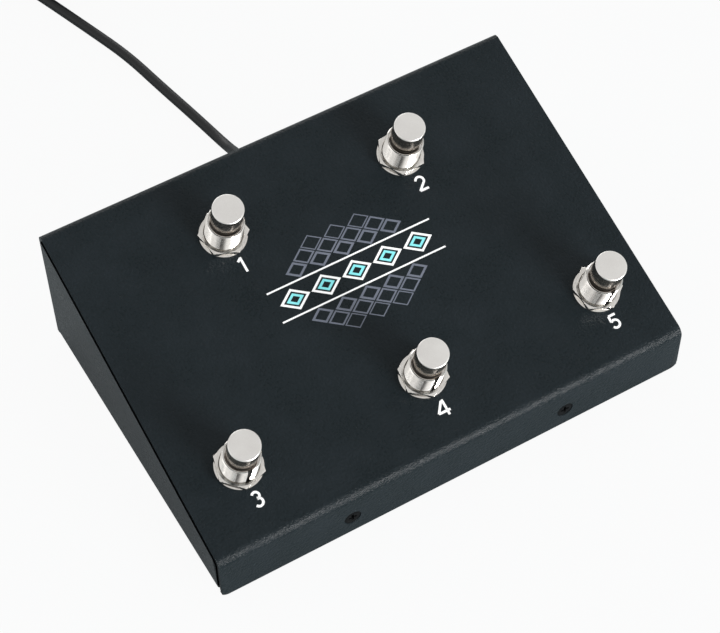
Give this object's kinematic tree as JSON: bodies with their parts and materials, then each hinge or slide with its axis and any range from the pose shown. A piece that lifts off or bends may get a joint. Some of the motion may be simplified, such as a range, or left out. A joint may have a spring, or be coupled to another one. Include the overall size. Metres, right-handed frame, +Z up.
{
  "type": "usb foot pedal switch",
  "caption": "Sloped black steel foot controller with metal push buttons in two rows on its top and a USB cable from its back wall.",
  "frame": {"origin": "centre of the enclosure's footprint, on the floor under its rubber feet", "axes": "+X to the right along the front edge, +Y from the low front lip to the high back wall, +Z up"},
  "size_m": [0.165, 0.3124, 0.0667],
  "materials": {
    "powder_coat": "fine textured black powder coat",
    "rubber": "matte black moulded rubber",
    "black_screw": "black oxide",
    "zinc_steel": "zinc plated",
    "board_laminate": "green solder mask",
    "chip_epoxy": "moulded epoxy",
    "header_nylon": "natural nylon",
    "wire_insulation": "satin insulation",
    "cable_jacket": "satin black jacket",
    "relief_moulding": "matte black moulding",
    "nickel_plate": "bright nickel plate",
    "cap_metal": "satin top with a polished rim",
    "plunger_brass": "turned brass, dull",
    "switch_body": "moulded black",
    "contact_brass": "tinned brass",
    "plug_tongue": "white moulding"
  },
  "bodies": {
    "enclosure": {"top_cover": "powder_coat", "base_chassis": "powder_coat", "foot_front_left": "rubber", "foot_front_right": "rubber", "foot_rear_left": "rubber", "foot_rear_right": "rubber", "front_cover_screws": "black_screw", "rear_cover_screws": "black_screw", "clinch_nuts": "zinc_steel", "board_standoffs": "zinc_steel", "board_screws": "zinc_steel", "lock_washers": "zinc_steel", "return_spring_rear_left": "zinc_steel", "return_spring_rear_right": "zinc_steel", "return_spring_front_left": "zinc_steel", "return_spring_front_center": "zinc_steel", "return_spring_front_right": "zinc_steel", "circuit_board": "board_laminate", "controller_chip": "chip_epoxy", "usb_header": "header_nylon", "usb_header_plug": "header_nylon", "switch_header": "header_nylon", "switch_wires": "wire_insulation", "inner_cable": "cable_jacket", "usb_cable": "cable_jacket", "usb_cable_coil": "cable_jacket", "usb_cable_tail": "cable_jacket", "strain_relief": "relief_moulding", "usb_plug_grip": "relief_moulding", "panel_washers": "nickel_plate", "panel_nuts": "nickel_plate", "usb_plug_shell": "nickel_plate", "bushing_rear_left": "nickel_plate", "bushing_rear_right": "nickel_plate", "bushing_front_left": "nickel_plate", "bushing_front_center": "nickel_plate", "bushing_front_right": "nickel_plate", "housing_rear_left": "switch_body", "housing_rear_right": "switch_body", "housing_front_left": "switch_body", "housing_front_center": "switch_body", "housing_front_right": "switch_body", "solder_lugs": "contact_brass", "usb_plug_tongue": "plug_tongue"},
    "button_rear_left": {"cap_rear_left": "cap_metal", "plunger_rear_left": "plunger_brass", "contact_ring_rear_left": "contact_brass"},
    "button_rear_right": {"cap_rear_right": "cap_metal", "plunger_rear_right": "plunger_brass", "contact_ring_rear_right": "contact_brass"},
    "button_front_left": {"cap_front_left": "cap_metal", "plunger_front_left": "plunger_brass", "contact_ring_front_left": "contact_brass"},
    "button_front_center": {"cap_front_center": "cap_metal", "plunger_front_center": "plunger_brass", "contact_ring_front_center": "contact_brass"},
    "button_front_right": {"cap_front_right": "cap_metal", "plunger_front_right": "plunger_brass", "contact_ring_front_right": "contact_brass"}
  },
  "joints": [
    {"name": "press_rear_left", "type": "slide", "parent": "enclosure", "child": "button_rear_left", "axis": [0, 0.2856, -0.9583], "range_m": [0, 0.0025], "stiffness_N_per_m": 1000, "springref_m": -0.003, "deforming": ["return_spring_rear_left"]},
    {"name": "press_rear_right", "type": "slide", "parent": "enclosure", "child": "button_rear_right", "axis": [0, 0.2856, -0.9583], "range_m": [0, 0.0025], "stiffness_N_per_m": 1000, "springref_m": -0.003, "deforming": ["return_spring_rear_right"]},
    {"name": "press_front_left", "type": "slide", "parent": "enclosure", "child": "button_front_left", "axis": [0, 0.2856, -0.9583], "range_m": [0, 0.0025], "stiffness_N_per_m": 1000, "springref_m": -0.003, "deforming": ["return_spring_front_left"]},
    {"name": "press_front_center", "type": "slide", "parent": "enclosure", "child": "button_front_center", "axis": [0, 0.2856, -0.9583], "range_m": [0, 0.0025], "stiffness_N_per_m": 1000, "springref_m": -0.003, "deforming": ["return_spring_front_center"]},
    {"name": "press_front_right", "type": "slide", "parent": "enclosure", "child": "button_front_right", "axis": [0, 0.2856, -0.9583], "range_m": [0, 0.0025], "stiffness_N_per_m": 1000, "springref_m": -0.003, "deforming": ["return_spring_front_right"]}
  ]
}
